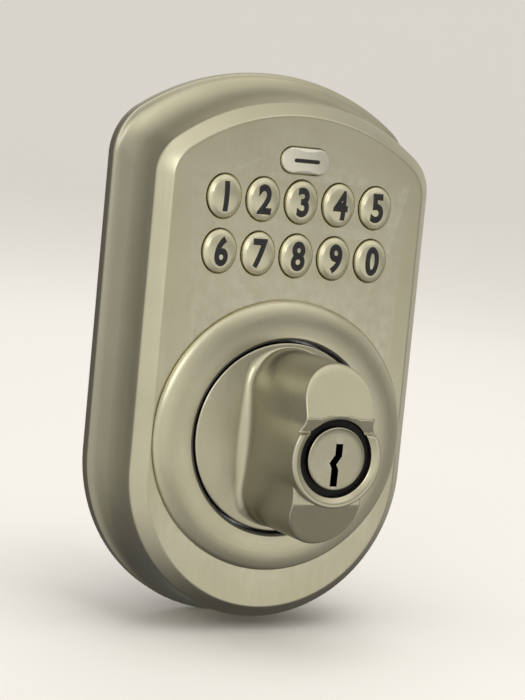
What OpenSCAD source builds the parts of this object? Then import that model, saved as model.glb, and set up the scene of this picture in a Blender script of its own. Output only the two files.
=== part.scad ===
// Outside unit of a keypad deadbolt lock: escutcheon with ten keys and a start button, turn knob with the
// key cylinder in its end, and the clutch that joins the knob to the tailpiece.
// Every module is drawn in the lock's own working frame: x to the right, y up, z out from the door.
// face_out() then stands it on the door face, so the outside looks along -Y and up is +Z.
// The origin is where the knob's axis meets the door's outside face.

/* [Escutcheon] */
// Overall width
body_w = 76; // [68:1:92]
// Overall height
body_h = 127; // [118:1:154]
// Height of the knob's axis above the bottom edge
knob_above_bottom = 45.5; // [42:0.5:50]
// Door face to the flat front
face_depth = 24; // [22:0.5:30]
// Door face to the front edge of the rim
rim_depth = 4.5; // [3:0.5:7]
// Width of the 45 degree bevel round the front
bevel = 3; // [2:0.5:3.5]
// How far the raised body stands in from the rim at each side
side_inset = 3.7; // [2:0.1:5]
// How far it stands in at the top
top_inset = 6.2; // [4:0.1:9]
// How far it stands in at the bottom
bottom_inset = 2.7; // [2:0.1:4]
// Radius of the shallow arch across the top
arch_r = 56; // [50:1:70]
// Radius of the two shoulders
corner_r = 14; // [11:0.5:17]
// Thickness of the front wall
wall = 2.6; // [2:0.1:3]

/* [Keypad] */
// Width of a key
key_w = 8; // [6.5:0.1:8.6]
// Height of a key
key_h = 9.6; // [8:0.1:11.5]
// Rim of metal between two keys in a row
key_web = 1.5; // [1.3:0.1:3]
// Distance between the two rows
key_pitch_y = 12.1; // [11.5:0.1:15]
// How far a key stands out of the front
key_proud = 1.5; // [1:0.1:2.2]
// Travel of a key
key_travel = 0.9; // [0.5:0.1:1.2]
// Upper row's centre below the top of the flat front
row_drop = 19.2; // [18:0.1:24]
// Width of the start button
button_w = 11.8; // [9:0.1:14]
// Height of the start button
button_h = 5.7; // [4.5:0.1:6.8]
// Start button's centre below the top of the flat front
button_drop = 10; // [9:0.1:11]

/* [Knob] */
// Diameter of the knob's round base
knob_d = 43.2; // [40:0.1:45]
// Gap between the knob and its bezel
knob_gap = 0.9; // [0.5:0.1:1.2]
// Width of the bezel ring's slope
bezel_slope = 8.5; // [6:0.1:8.5]
// How far the bezel stands out of the front
bezel_rise = 2.8; // [2:0.1:4]
// Door face to the end of the knob
knob_reach = 53; // [50:0.5:62]
// Width of the finger grip
grip_w = 16.6; // [15:0.1:20]
// Length of the finger grip
grip_h = 38.8; // [34:0.1:40]
// Diameter of the boss round the cylinder
boss_d = 21.6; // [20:0.1:23]
// Outside diameter of the knob's hollow shaft
shaft_d = 30; // [29:0.1:32]
// Wall of the hollow shaft
shaft_wall = 2.4; // [2:0.1:2.6]

/* [Key cylinder] */
// Diameter of the cylinder's shell
cylinder_d = 16.8; // [16:0.1:17.2]
// Diameter of the plug
plug_d = 12.8; // [11.5:0.1:13.2]
// Number of pin stacks
pin_count = 5; // [3:1:6]
// Distance between pin stacks
pin_pitch = 3.9; // [3.6:0.1:4.2]
// Diameter of a pin
pin_d = 2.8; // [2.2:0.1:2.9]
// Width of the keyway
keyway_w = 1.7; // [1.2:0.1:2.2]

/* [Clutch] */
// Travel of the clutch sleeve
clutch_stroke = 2.2; // [1.6:0.1:2.3]
// Number of dogs on the sleeve
dog_count = 4; // [4:4:8]
// Width of a dog
dog_w = 4; // [3:0.1:4.5]

/* [Door fixing] */
// Diameter of the door's cross bore
cross_bore = 54; // [52:0.5:56]
// How far the locating collar goes into the bore
collar_depth = 8; // [5:0.5:12]
// Distance between the two threaded posts
post_spacing = 35; // [34:0.5:37]
// Length of a post behind the door face
post_length = 20; // [14:0.5:26]
// Radius of a post's thread
post_thread_r = 2.1; // [1.8:0.1:2.5]
// Width of the tailpiece
tail_w = 8; // [6:0.1:9]
// Thickness of the tailpiece
tail_t = 2; // [1.5:0.1:2.5]
// Length of the tailpiece behind the door face
tail_length = 58; // [50:1:75]
// Thickness of the rim gasket
gasket_t = 1; // [0.8:0.1:1.5]

/* [Fits] */
// Radial clearance of a running fit
running = 0.05; // [0.02:0.01:0.09]
// Clearance between pieces that only pass each other
clear = 0.3; // [0.2:0.05:0.35]
// Clearance round pieces that sit still in a seat
seat = 0.1; // [0.05:0.01:0.15]

/* [Hidden] */
$fn = 64;
tiny = 0.01;

// Outlines of the escutcheon
half_w = body_w / 2;
bottom_y = -knob_above_bottom;
top_y = bottom_y + body_h;
foot_z = face_depth - bevel;
front_in = face_depth - wall;
cavity_inset = wall + bevel / 4;
rebate_lip = 2.8;
plate_t = 1.5;
plate_z = gasket_t + plate_t;

// Keypad stack, from the front wall back
key_pitch_x = key_w + key_web;
flat_top = top_y - top_inset - bevel;
upper_row_y = flat_top - row_drop;
lower_row_y = upper_row_y - key_pitch_y;
button_y = flat_top - button_drop;
key_slack = 0.15;
flange_rim = 0.55;
flange_t = 1.2;
flange_z = front_in - seat - flange_t;
nub_z = flange_z - key_travel - clear;
nub_h = 0.45;
mat_t = 0.6;
board_z = nub_z - nub_h - mat_t;
board_t = 1.6;
board_back = board_z - board_t;
board_half = 2 * key_pitch_x + key_w / 2 + 1;
board_top = button_y + button_h / 2 + 1;
dome_r = 2.2;
dome_t = 0.3;

// Knob and its bearings
knob_r = knob_d / 2;
bezel_in = knob_r + knob_gap;
bezel_sleeve = bezel_in + 1.4;
bezel_out = bezel_in + bezel_slope;
bezel_top = face_depth + bezel_rise;
bush_flange = 0.3;
knob_back = front_in + bush_flange + running;
knob_rim_z = bezel_top - 0.4;
dome_rise = 2.2;
shaft_r = shaft_d / 2;
shaft_in = shaft_r - shaft_wall;
bush_r = shaft_r + running + 2;
chassis_t = 3;
chassis_z = front_in - chassis_t;
bush_z = chassis_z - 0.8;
clip_t = 1.2;
clip_z = bush_z - 0.2 - clip_t;
clip_depth = 1;
chassis_half = bush_r + 7.6;
chassis_screw = chassis_half - 4.1;

// Key cylinder, in the knob
cylinder_r = cylinder_d / 2;
plug_r = plug_d / 2;
pin_r = pin_d / 2;
knob_hole_r = cylinder_r + seat;
crease_y = knob_hole_r + 0.1;
shell_back = 20;
shell_front = knob_reach - 2;
head_r = plug_r + 0.5;
head_front = knob_reach - 0.4;
tower_w = 2 * pin_r + 2.8;
tower_front = shell_front - 3;
tower_back = tower_front - pin_count * pin_pitch - 2;
tower_top = shaft_in - 1.6;
cover_t = 0.9;
first_pin_z = tower_front - pin_pitch;
pin_floor = 1.2;
pin_shear = sqrt(pow(plug_r, 2) - pow(pin_r, 2)) - 0.05;
driver_len = 1.7;
plug_back = shell_back - 2.2;
clip_groove_r = plug_r - 0.8;
cam_t = 2.2;
cam_z = plug_back - cam_t - 0.2;
stub_r = 3;
tongue_h = 2.4;
tongue_l = 10;
tongue_w = 2.6;

// Clutch, between the shaft and the back plate
hub_bearing_r = 10;
hub_flange_z = plate_z + 1.5;
hub_flange_t = 2.4;
hub_top = hub_flange_z + hub_flange_t;
dog_in = shaft_r + 0.4;
dog_out = dog_in + 2.4;
hub_flange_r = dog_out + 0.2;
dog_bottom = hub_top + clear;
dog_h = clutch_stroke + 0.3;
sleeve_z = dog_bottom + dog_h;
sleeve_h = 4.9;
sleeve_r = shaft_r + 5;
spline_w = 4;
spline_d = 1;
shaft_end = sleeve_z - 0.9;
stem_r = 9;
stem_top = cam_z - 1.2;
groove_r = sleeve_r - 1.4;
groove_w = 2;
groove_z = sleeve_z + 1.5;
fork_t = 1.4;
fork_z = groove_z + (groove_w - fork_t) / 2;
fork_r = groove_r + clear;
fork_out = sleeve_r + 2.5;
fork_web_y = sleeve_r + 3.4;
fork_foot_z = plate_z + clutch_stroke + clear;
plunger_r = 2;
plunger_y = fork_web_y + 9.6;
solenoid_z = fork_foot_z + fork_t + 0.6;
solenoid_w = 15;
solenoid_l = 12.4;
// How much of the solenoid the board must reach over to carry it
solenoid_seat = 3;
board_bottom = min(lower_row_y - key_h / 2 - 8.7, plunger_y + solenoid_l / 2 - solenoid_seat);

// Fixings
collar_r = cross_bore / 2 - 0.4;
collar_wall = 3.1;
post_r = 4;
rivet_r = 3;
grommet_x = -13.5;
grommet_y = 13.5;
grommet_r = 2.5;
screw_r = 1.4;
screw_hole_r = screw_r + seat;
boss_r = 3;
boss_x = half_w - side_inset - cavity_inset - 2.9;
plate_screws = [
    [-boss_x, upper_row_y + 1], [boss_x, upper_row_y + 1], [-boss_x, 3], [boss_x, 3],
    [0, bottom_y + bottom_inset + cavity_inset + 4.5]
];
board_screw_r = 0.95;
board_screw_head_r = 1.9;
board_post_r = 2.2;
board_posts = [
    [-board_half + 3.2, board_bottom + 3], [board_half - 3.2, board_bottom + 3],
    [-board_half + 4.2, button_y + 0.7], [board_half - 4.2, button_y + 0.7]
];

// A row of small parts between a board screw and the solenoid
resistor_l = 1.8;
resistor_x = board_posts[0][0] + board_screw_head_r + clear + 0.2;
resistor_pitch = (-solenoid_w / 2 - 0.6 - resistor_l - resistor_x) / 2;

// Keys in reading order, the tenth being 0
key_places = [for (i = [0:9]) [(i % 5 - 2) * key_pitch_x, i < 5 ? upper_row_y : lower_row_y]];

function arc(x, y, r, from, to, n) =
    [for (i = [0:n - 1]) let (a = from + (to - from) * i / n) [x + r * cos(a), y + r * sin(a)]];

// Straight sides, a half round bottom, and a shallow arch with rounded shoulders on top
function shield(inset_side, inset_top, inset_bottom) =
    let (
        half = half_w - inset_side,
        arch = arch_r - inset_top,
        corner = corner_r - min(inset_side, 5),
        arch_y = top_y - inset_top - arch,
        corner_y = arch_y + sqrt(pow(arch - corner, 2) - pow(half - corner, 2)),
        turn = atan2(corner_y - arch_y, half - corner)
    )
    concat(
        arc(0, bottom_y + inset_bottom + half, half, 180, 360, 24),
        arc(half - corner, corner_y, corner, 0, turn, 6),
        arc(0, arch_y, arch, turn, 180 - turn, 12),
        arc(-half + corner, corner_y, corner, 180 - turn, 180, 6)
    );

function oval(w, h) = [for (i = [0:35]) [w / 2 * cos(i * 10), h / 2 * sin(i * 10)]];

module face_out() {
    rotate([90, 0, 0]) children();
}

module slab(z0, z1) {
    translate([0, 0, z0]) linear_extrude(z1 - z0) children();
}

module rod(r, z0, z1) {
    translate([0, 0, z0]) cylinder(r = r, h = z1 - z0);
}

module tube(outer, inner, z0, z1) {
    difference() {
        rod(outer, z0, z1);
        rod(inner, z0 - 1, z1 + 1);
    }
}

module around(count) {
    for (i = [0:count - 1]) rotate(i * 360 / count) children();
}

module at_each(places) {
    for (p = places) translate(p) children();
}

module stadium(w, h) {
    square([w - h, h], center = true);
    for (side = [-1, 1]) translate([side * (w - h) / 2, 0]) circle(d = h);
}

// A skin through a stack of outlines, each [z, points]
module loft(levels) {
    n = len(levels[0][1]);
    last = len(levels) - 1;
    points = [for (l = levels) for (p = l[1]) [p[0], p[1], l[0]]];
    sides = [
        for (k = [0:last - 1]) for (i = [0:n - 1]) let (a = k * n + i, b = k * n + (i + 1) % n)
            for (t = [[a, a + n, b + n], [a, b + n, b]]) t
    ];
    ends = [[for (i = [0:n - 1]) i], [for (i = [n - 1:-1:0]) last * n + i]];
    polyhedron(points, concat(sides, ends), convexity = 6);
}

// ---- Escutcheon and fixed pieces ----

module escutcheon() {
    cove = [
        for (i = [0:6]) let (a = i * 15, s = sin(a))
            [foot_z - (foot_z - rim_depth) * cos(a), shield(side_inset * s, top_inset * s, bottom_inset * s)]
    ];
    skin = concat(
        [[gasket_t, shield(0, 0, 0)]],
        cove,
        [[face_depth, shield(side_inset + bevel, top_inset + bevel, bottom_inset + bevel)]]
    );
    color([0.66, 0.64, 0.56]) face_out() difference() {
        union() {
            difference() {
                loft(skin);
                slab(gasket_t - 1, plate_z) polygon(shield(rebate_lip, rebate_lip, rebate_lip));
                slab(gasket_t, front_in) polygon(shield(
                    side_inset + cavity_inset, top_inset + cavity_inset, bottom_inset + cavity_inset));
            }
            at_each(plate_screws) rod(boss_r, plate_z, front_in + tiny);
            at_each(board_posts) rod(board_post_r, board_z, front_in + tiny);
        }
        rod(bezel_sleeve + seat, front_in - 1, face_depth + 1);
        at_each(key_places) slab(front_in - 1, face_depth + 1)
            polygon(oval(key_w + 2 * key_slack, key_h + 2 * key_slack));
        translate([0, button_y]) slab(front_in - 1, face_depth + 1)
            stadium(button_w + 2 * key_slack, button_h + 2 * key_slack);
        at_each(plate_screws) rod(screw_hole_r, plate_z - 1, plate_z + 7.5);
        at_each(board_posts) rod(board_screw_r + seat, board_z - 1, board_z + 3);
        for (x = [-1, 1], y = [-1, 1]) translate([x * chassis_screw, y * chassis_screw])
            rod(screw_hole_r, front_in - 1, front_in + wall * 0.6);
    }
}

module gasket() {
    color([0.1, 0.1, 0.1]) face_out() difference() {
        slab(0, gasket_t) polygon(shield(0.4, 0.4, 0.4));
        slab(-1, gasket_t + 1) polygon(shield(rebate_lip, rebate_lip, rebate_lip));
    }
}

module knob_bezel() {
    crown = [for (i = [0:8]) let (a = i * 11.25)
        [bezel_in + 0.4 + (bezel_slope - 0.4) * sin(a), face_depth + 0.3 + (bezel_rise - 0.3) * cos(a)]];
    color([0.68, 0.66, 0.58]) face_out() rotate_extrude($fn = 96) polygon(concat(
        [[bezel_sleeve, face_depth], [bezel_sleeve, front_in], [bezel_in, front_in], [bezel_in, bezel_top - 0.4]],
        crown,
        [[bezel_out, face_depth]]
    ));
}

module back_plate() {
    color([0.6, 0.62, 0.64]) face_out() difference() {
        slab(gasket_t, plate_z) polygon(shield(rebate_lip + seat, rebate_lip + seat, rebate_lip + seat));
        rod(hub_bearing_r + running, 0, plate_z + 1);
        for (x = [-1, 1]) translate([x * post_spacing / 2, 0]) rod(rivet_r + seat, 0, plate_z + 1);
        translate([grommet_x, grommet_y]) rod(grommet_r + seat, 0, plate_z + 1);
        at_each(plate_screws) rod(screw_hole_r, 0, plate_z + 1);
    }
}

module back_plate_screws() {
    color([0.75, 0.75, 0.76]) face_out() at_each(plate_screws) difference() {
        union() {
            rod(2.6, gasket_t - 0.85, gasket_t);
            rod(screw_r, gasket_t - tiny, plate_z + 6.5);
        }
        for (a = [0, 90]) rotate(a) translate([-1.5, -0.3, 0]) cube([3, 0.6, gasket_t - 0.4]);
    }
}

module mounting_posts() {
    color([0.72, 0.72, 0.7]) face_out() for (x = [-1, 1]) translate([x * post_spacing / 2, 0]) difference() {
        union() {
            rod(post_r, -post_length, gasket_t);
            rod(rivet_r, gasket_t - tiny, plate_z + tiny);
            rod(rivet_r + 0.8, plate_z, plate_z + 0.8);
        }
        rod(post_thread_r, -post_length - 1, -2);
    }
}

module bore_collar() {
    color([0.16, 0.16, 0.17]) face_out() {
        tube(collar_r, collar_r - collar_wall, -collar_depth, 0);
        tube(collar_r - 1, collar_r - collar_wall, -tiny, gasket_t);
    }
}

module cable_grommet() {
    color([0.12, 0.12, 0.12]) face_out() translate([grommet_x, grommet_y]) difference() {
        union() {
            rod(grommet_r + 1, gasket_t - 0.6, gasket_t);
            rod(grommet_r, gasket_t - tiny, plate_z + tiny);
            rod(grommet_r + 1, plate_z, plate_z + 0.6);
        }
        rod(grommet_r - 0.9, 0, plate_z + 2);
    }
}

module chassis_plate() {
    color([0.55, 0.56, 0.58]) face_out() difference() {
        slab(chassis_z, front_in) difference() {
            square(2 * chassis_half, center = true);
            for (x = [-1, 1], y = [-1, 1]) translate([x * chassis_half, y * chassis_half])
                rotate(45) square(3, center = true);
        }
        rod(bush_r, chassis_z - 1, front_in + 1);
        for (x = [-1, 1], y = [-1, 1]) translate([x * chassis_screw, y * chassis_screw])
            rod(screw_hole_r, chassis_z - 1, front_in + 1);
    }
}

module chassis_screws() {
    color([0.75, 0.75, 0.76]) face_out()
        for (x = [-1, 1], y = [-1, 1]) translate([x * chassis_screw, y * chassis_screw]) {
            rod(2.4, chassis_z - 1.5, chassis_z);
            rod(screw_r, chassis_z - tiny, front_in + wall * 0.5);
        }
}

module knob_bushing() {
    color([0.86, 0.84, 0.78]) face_out() {
        tube(bush_r, shaft_r + running, bush_z, front_in + tiny);
        tube(bush_r + 2.5, shaft_r + running, front_in, front_in + bush_flange);
    }
}

// ---- Keypad ----

module key(place) {
    crown_r = 16;
    color([0.8, 0.78, 0.7]) face_out() translate(place) intersection() {
        union() {
            slab(flange_z, flange_z + flange_t)
                polygon(oval(key_w + 2 * flange_rim, key_h + 2 * flange_rim));
            slab(flange_z, face_depth + key_proud) polygon(oval(key_w, key_h));
        }
        translate([0, 0, face_depth + key_proud - crown_r]) sphere(r = crown_r);
    }
}

module start_button() {
    crown_r = 24;
    color([0.8, 0.78, 0.7]) face_out() translate([0, button_y]) intersection() {
        union() {
            slab(flange_z, flange_z + flange_t)
                stadium(button_w + 2 * flange_rim, button_h + 2 * flange_rim);
            slab(flange_z, face_depth + key_proud) stadium(button_w, button_h);
        }
        translate([0, 0, face_depth + key_proud - crown_r]) sphere(r = crown_r);
    }
}

switch_places = concat(key_places, [[0, button_y]]);

module board_outline(bottom) {
    inset = side_inset + cavity_inset + 2 * clear;
    intersection() {
        translate([-board_half, bottom]) square([2 * board_half, board_top - bottom]);
        polygon(shield(inset, inset + top_inset - side_inset, inset));
    }
}

module keypad_mat() {
    color([0.2, 0.21, 0.22]) face_out() difference() {
        union() {
            slab(board_z, board_z + mat_t) board_outline(lower_row_y - key_h / 2 - 1);
            at_each(switch_places) rod(dome_r - 0.4, board_z, nub_z);
        }
        at_each(switch_places) rod(dome_r + seat, board_z - 1, board_z + dome_t + tiny);
        at_each(board_posts) rod(board_post_r + seat, board_z - 1, nub_z + 1);
    }
}

module switch_domes() {
    color([0.8, 0.8, 0.78]) face_out() at_each(switch_places) rod(dome_r, board_z, board_z + dome_t);
}

module keypad_board() {
    color([0.05, 0.3, 0.16]) face_out() difference() {
        slab(board_back, board_z) board_outline(board_bottom);
        at_each(board_posts) rod(board_screw_r + seat, board_back - 1, board_z + 1);
    }
}

module board_screws() {
    color([0.75, 0.75, 0.76]) face_out() at_each(board_posts) {
        rod(board_screw_head_r, board_back - 1.2, board_back);
        rod(board_screw_r, board_back - tiny, board_z + 2.6);
    }
}

module board_chips() {
    color([0.08, 0.08, 0.09]) face_out() {
        translate([4, upper_row_y - 3, board_back - 1.4]) cube([9, 9, 1.4]);
        translate([-6, upper_row_y + 5, board_back - 1.1]) cube([6, 4, 1.1]);
        for (i = [0:2]) translate([resistor_x + i * resistor_pitch, lower_row_y - 9, board_back - 0.7])
            cube([resistor_l, 1, 0.7]);
    }
}

module board_connector() {
    color([0.9, 0.89, 0.84]) face_out() translate([board_half - 12, lower_row_y - 3, board_back - 4.6])
        difference() {
            cube([8, 5.6, 4.6]);
            translate([1, 1, -1]) cube([6, 3.6, 4.4]);
        }
}

module beeper() {
    color([0.1, 0.1, 0.11]) face_out() translate([-board_half + 9, upper_row_y + 1]) difference() {
        rod(4.5, board_back - 3.2, board_back);
        rod(0.8, board_back - 4, board_back - 2);
    }
}

// ---- Clutch drive ----

module clutch_solenoid() {
    color([0.5, 0.5, 0.5]) face_out() translate([0, plunger_y]) difference() {
        union() {
            for (z = [solenoid_z, board_back - 1.2]) translate([-solenoid_w / 2, -solenoid_l / 2, z])
                cube([solenoid_w, solenoid_l, 1.2]);
            translate([-solenoid_w / 2, -solenoid_l / 2, solenoid_z])
                cube([1.2, solenoid_l, board_back - solenoid_z]);
            rod(solenoid_l / 2 - 0.4, solenoid_z + 1, board_back - 1);
        }
        rod(plunger_r + seat, solenoid_z - 1, board_back - 1.5);
    }
}

module solenoid_plunger() {
    color([0.78, 0.78, 0.8]) face_out() translate([0, plunger_y]) {
        rod(plunger_r, fork_foot_z, board_back - 2.5);
        rod(plunger_r + 1, fork_foot_z + fork_t, fork_foot_z + fork_t + 0.4);
    }
}

module shift_fork() {
    color([0.85, 0.82, 0.7]) face_out() difference() {
        union() {
            slab(fork_z, fork_z + fork_t) difference() {
                translate([-fork_out, 0]) square([2 * fork_out, fork_web_y + fork_t]);
                for (side = [-1, 1]) translate([side * fork_out, fork_web_y + fork_t]) rotate(45)
                    square(26, center = true);
            }
            translate([-5, fork_web_y, fork_foot_z]) cube([10, fork_t, fork_z + fork_t - fork_foot_z]);
            translate([-5, fork_web_y, fork_foot_z])
                cube([10, plunger_y - fork_web_y + plunger_r + 1.5, fork_t]);
        }
        rod(fork_r, fork_z - 1, fork_z + fork_t + 1);
        translate([0, plunger_y]) rod(plunger_r + tiny, fork_foot_z - 1, fork_foot_z + fork_t + 1);
    }
}

module clutch_sleeve() {
    color([0.7, 0.68, 0.6]) face_out() {
        difference() {
            rod(sleeve_r, sleeve_z, sleeve_z + sleeve_h);
            rod(shaft_r + running, sleeve_z - 1, sleeve_z + sleeve_h + 1);
            tube(sleeve_r + 1, groove_r, groove_z, groove_z + groove_w);
        }
        around(2) translate([shaft_r - spline_d + 0.1, -spline_w / 2, sleeve_z])
            cube([spline_d + 0.4, spline_w, sleeve_h]);
        around(dog_count) translate([dog_in, -dog_w / 2, dog_bottom])
            cube([dog_out - dog_in, dog_w, dog_h + tiny]);
    }
}

module drive_hub() {
    color([0.74, 0.66, 0.42]) face_out() difference() {
        union() {
            rod(hub_bearing_r, gasket_t - 0.4, hub_flange_z + tiny);
            rod(hub_flange_r, hub_flange_z, hub_top);
            rod(stem_r, hub_top - tiny, stem_top);
        }
        around(dog_count) translate([dog_in - 0.3, -dog_w / 2 - 0.25, hub_flange_z - 1])
            cube([4, dog_w + 0.5, hub_flange_t + 2]);
        translate([-tail_t / 2 - seat / 2, -tail_w / 2 - seat / 2, 0])
            cube([tail_t + seat, tail_w + seat, stem_top - 2.5]);
        translate([-tongue_l / 2 - 0.4, -tongue_w / 2 - 0.2, stem_top - 1.7])
            cube([tongue_l + 0.8, tongue_w + 0.4, 3]);
    }
}

module tailpiece() {
    color([0.74, 0.74, 0.75]) face_out() difference() {
        translate([-tail_t / 2, -tail_w / 2, -tail_length]) cube([tail_t, tail_w, tail_length + stem_top - 2.6]);
        for (side = [-1, 1]) translate([0, side * tail_w / 2, -tail_length]) rotate([45, 0, 0])
            cube([4, 2, 2], center = true);
    }
}

// ---- Knob and key cylinder ----

module grip() {
    boss_foot = -boss_d / 2 + 0.3;
    side = [
        [-knob_r + 1, knob_back + 1], [-grip_h / 2 - 0.6, knob_reach - 12],
        [-grip_h / 2, knob_reach - 7], [boss_foot, knob_reach - 3], [boss_foot, knob_reach],
        [crease_y, knob_reach], [grip_h / 2, knob_reach - 4.4], [knob_r - 1, knob_back + 1]
    ];
    intersection() {
        union() {
            slab(knob_back, knob_reach) {
                square([grip_w, grip_h - grip_w + 3.4], center = true);
                for (y = [-1, 1]) translate([0, y * (grip_h / 2 - grip_w / 2 + 0.7)]) circle(d = grip_w);
            }
            translate([0, 0, knob_rim_z]) cylinder(d1 = grip_w, d2 = boss_d, h = knob_reach - knob_rim_z);
        }
        rotate([90, 0, 90]) translate([0, 0, -boss_d]) linear_extrude(2 * boss_d) polygon(side);
    }
}

module turn_knob() {
    crown = [for (i = [0:5]) [knob_r * (1 - i / 5), knob_rim_z + dome_rise * sin(i * 18)]];
    color([0.66, 0.64, 0.56]) face_out() difference() {
        union() {
            rotate_extrude($fn = 96) polygon(concat([[0, knob_back], [knob_r, knob_back]], crown));
            grip();
            rod(shaft_r, shaft_end, knob_back + tiny);
        }
        rod(shaft_in, shaft_end - 1, shell_back);
        rod(knob_hole_r, shell_back - 1, knob_reach + 1);
        translate([-tower_w / 2 - seat, 0, shell_back - 1])
            cube([tower_w + 2 * seat, tower_top + seat, tower_front + seat - shell_back + 1]);
        tube(shaft_r + 1, shaft_r - clip_depth, clip_z - seat, clip_z + clip_t + seat);
        around(2) translate([shaft_r - spline_d - seat, -spline_w / 2 - seat, shaft_end - 1])
            cube([spline_d + 1, spline_w + 2 * seat, sleeve_h + 3.5]);
    }
}

module knob_clip() {
    color([0.5, 0.5, 0.52]) face_out() difference() {
        tube(shaft_r + 2.6, shaft_r - clip_depth + seat, clip_z, clip_z + clip_t);
        translate([-2, shaft_r - 5, clip_z - 1]) cube([4, 9, clip_t + 2]);
    }
}

module pin_stacks(y0, y1, r) {
    for (i = [0:pin_count - 1]) translate([0, y1, first_pin_z - i * pin_pitch]) rotate([90, 0, 0])
        cylinder(r = r, h = y1 - y0);
}

module lock_cylinder() {
    color([0.78, 0.68, 0.42]) face_out() difference() {
        union() {
            rod(cylinder_r, shell_back, shell_front);
            translate([-tower_w / 2, 0, tower_back]) cube([tower_w, tower_top - cover_t, tower_front - tower_back]);
        }
        rod(plug_r + running, shell_back - 1, shell_front + 1);
        pin_stacks(plug_r - 1, tower_top, pin_r + running);
    }
}

module driver_pins() {
    color([0.8, 0.72, 0.5]) face_out() pin_stacks(plug_r + 2 * running, plug_r + 2 * running + driver_len, pin_r);
}

module pin_springs() {
    low = plug_r + 2 * running + driver_len;
    color([0.72, 0.72, 0.74]) face_out() difference() {
        pin_stacks(low, tower_top - cover_t, pin_r - 0.2);
        pin_stacks(low - 1, tower_top, pin_r - 0.6);
    }
}

module pin_cover() {
    color([0.78, 0.68, 0.42]) face_out()
        translate([-tower_w / 2, tower_top - cover_t, tower_back]) cube([tower_w, cover_t, tower_front - tower_back]);
}

// A stepped slot, wide enough for a cut key
module keyway() {
    w = keyway_w;
    polygon([
        [-w / 2 - 0.3, -plug_r * 0.82], [w / 2 - 0.3, -plug_r * 0.82], [w / 2 - 0.3, -2.3], [w / 2 - 0.9, -1.2],
        [w / 2 + 0.3, 0.6], [w / 2 + 0.3, 3.3], [-w / 2 + 0.3, 3.3], [-w / 2 + 0.3, 0.9], [-w / 2 - 0.9, -0.9],
        [-w / 2 - 0.3, -2]
    ]);
}

module key_plug() {
    color([0.82, 0.8, 0.72]) face_out() difference() {
        union() {
            rod(plug_r, plug_back, shell_front + tiny + running);
            rod(head_r, shell_front + running, head_front);
            rod(stub_r, cam_z, plug_back + tiny);
        }
        slab(shell_back + 2, head_front + 1) keyway();
        pin_stacks(pin_floor - 0.2, plug_r + 1, pin_r + running);
        tube(plug_r + 1, clip_groove_r, shell_back - 1.5, shell_back - 0.3);
    }
}

module key_pins() {
    color([0.8, 0.72, 0.5]) face_out() pin_stacks(pin_floor, pin_shear, pin_r);
}

module plug_clip() {
    color([0.5, 0.5, 0.52]) face_out() difference() {
        tube(plug_r + 1.4, clip_groove_r + 0.05, shell_back - 1.4, shell_back - 0.4);
        translate([-1.5, 0, shell_back - 2]) cube([3, plug_r + 3, 2]);
    }
}

module plug_cam() {
    color([0.7, 0.62, 0.4]) face_out() {
        tube(plug_r + 1.1, stub_r + tiny, cam_z, cam_z + cam_t);
        translate([-tongue_l / 2, -tongue_w / 2, cam_z - tongue_h]) cube([tongue_l, tongue_w, tongue_h]);
    }
}

escutcheon();
gasket();
knob_bezel();
back_plate();
back_plate_screws();
mounting_posts();
bore_collar();
cable_grommet();
chassis_plate();
chassis_screws();
knob_bushing();
for (i = [0:9]) key(key_places[i]);
start_button();
keypad_mat();
switch_domes();
keypad_board();
board_screws();
board_chips();
board_connector();
beeper();
clutch_solenoid();
solenoid_plunger();
shift_fork();
turn_knob();
knob_clip();
clutch_sleeve();
lock_cylinder();
driver_pins();
pin_springs();
pin_cover();
key_plug();
key_pins();
plug_clip();
plug_cam();
drive_hub();
tailpiece();
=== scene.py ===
import math
import bmesh
import bpy
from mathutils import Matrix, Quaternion, Vector


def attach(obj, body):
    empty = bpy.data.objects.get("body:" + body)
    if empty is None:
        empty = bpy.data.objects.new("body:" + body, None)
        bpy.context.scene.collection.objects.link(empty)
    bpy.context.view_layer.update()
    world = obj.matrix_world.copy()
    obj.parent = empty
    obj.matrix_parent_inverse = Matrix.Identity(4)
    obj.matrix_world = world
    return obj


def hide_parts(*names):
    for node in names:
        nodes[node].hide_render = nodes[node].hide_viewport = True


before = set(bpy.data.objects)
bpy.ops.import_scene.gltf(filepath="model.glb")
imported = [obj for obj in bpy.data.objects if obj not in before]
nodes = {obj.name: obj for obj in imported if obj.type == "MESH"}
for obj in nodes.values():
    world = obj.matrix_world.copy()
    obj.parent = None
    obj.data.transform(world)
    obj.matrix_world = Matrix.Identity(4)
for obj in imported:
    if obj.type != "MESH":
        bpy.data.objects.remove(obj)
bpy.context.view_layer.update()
mm = 0.001
print("stage: frame loaded,", len(nodes), "nodes")


# Places are given as the lock is drawn: x to the right, y up, out from the door, in millimetres.

def facePoint(x, y, out):
    return Vector((x * mm, -out * mm, y * mm))


def clearSelection():
    if bpy.context.object and bpy.context.object.mode != "OBJECT":
        bpy.ops.object.mode_set(mode="OBJECT")
    bpy.ops.object.select_all(action="DESELECT")


def makeActive(piece):
    clearSelection()
    piece.select_set(True)
    bpy.context.view_layer.objects.active = piece


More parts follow.
